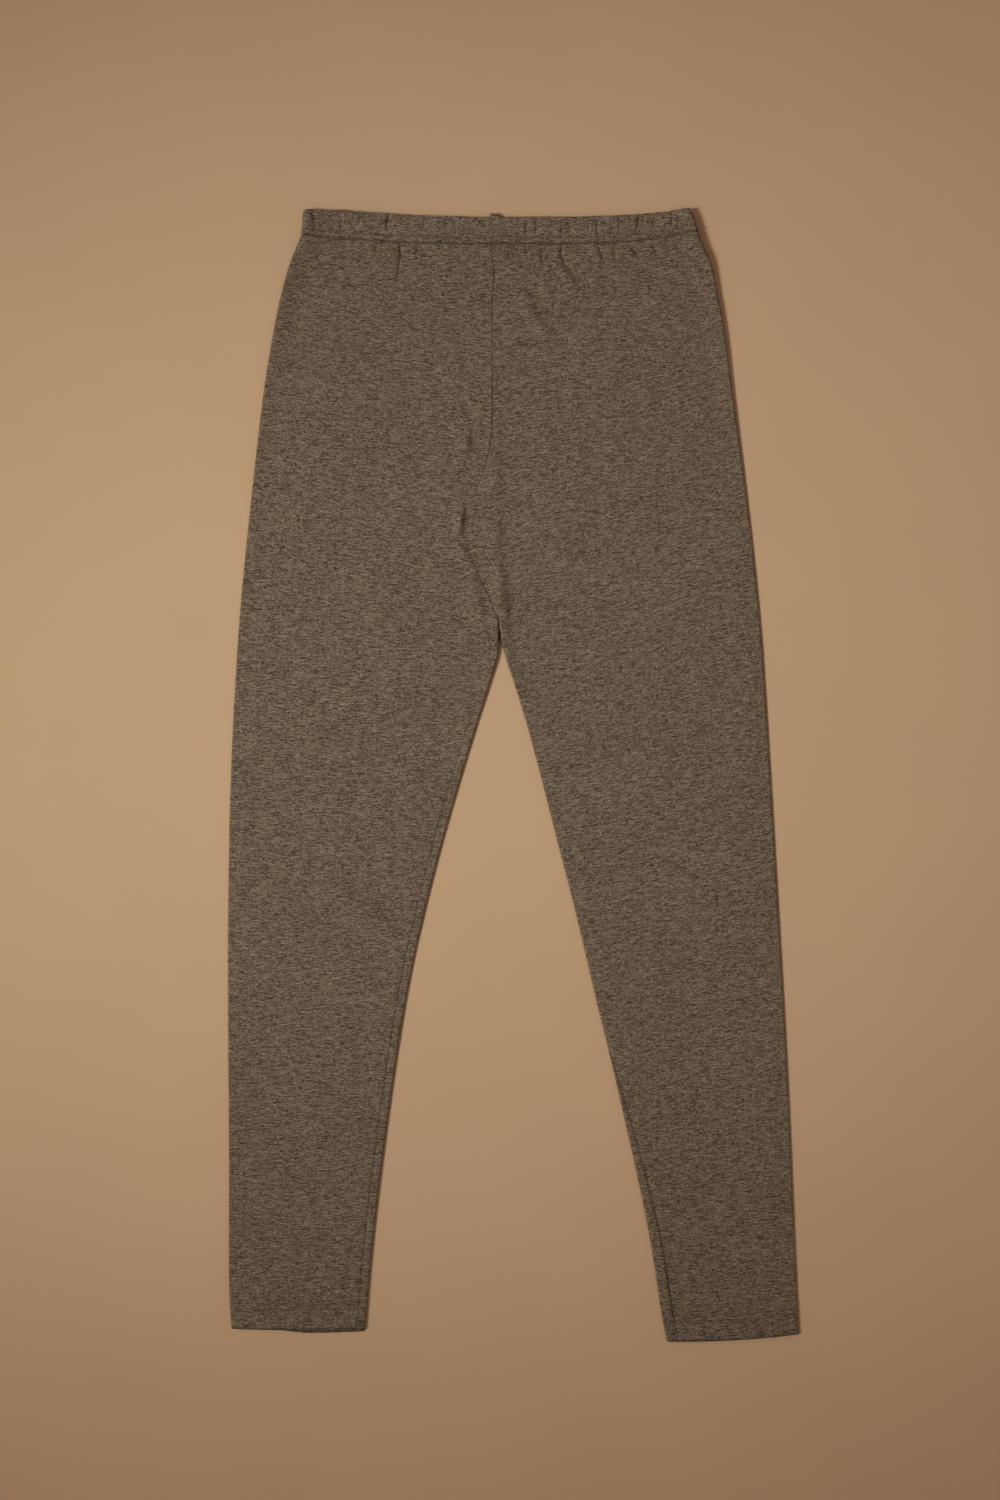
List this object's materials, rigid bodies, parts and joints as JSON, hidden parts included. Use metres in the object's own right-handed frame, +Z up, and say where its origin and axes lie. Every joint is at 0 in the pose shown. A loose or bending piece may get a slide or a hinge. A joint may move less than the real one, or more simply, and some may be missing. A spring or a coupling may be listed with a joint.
{
  "type": "leggings",
  "caption": "Full-length pull-on jersey leggings laid flat, front up, with a gathered elastic waist casing and turned-up hems.",
  "frame": {"origin": "middle of the overall box, on the surface that the leggings lie on", "axes": "+Y along the garment towards the waist, +X towards the wearer's left leg, +Z up out of the surface"},
  "size_m": [0.4801, 0.952, 0.0091],
  "materials": {
    "heather_jersey": "heathered grey-brown single jersey, matt",
    "gathered_jersey": "the same jersey gathered over elastic",
    "stitching": "matt polyester sewing thread, a shade darker than the cloth"
  },
  "bodies": {
    "root": {"right_leg": "heather_jersey", "left_leg": "heather_jersey", "right_waist_casing": "gathered_jersey", "left_waist_casing": "gathered_jersey"}
  },
  "joints": []
}
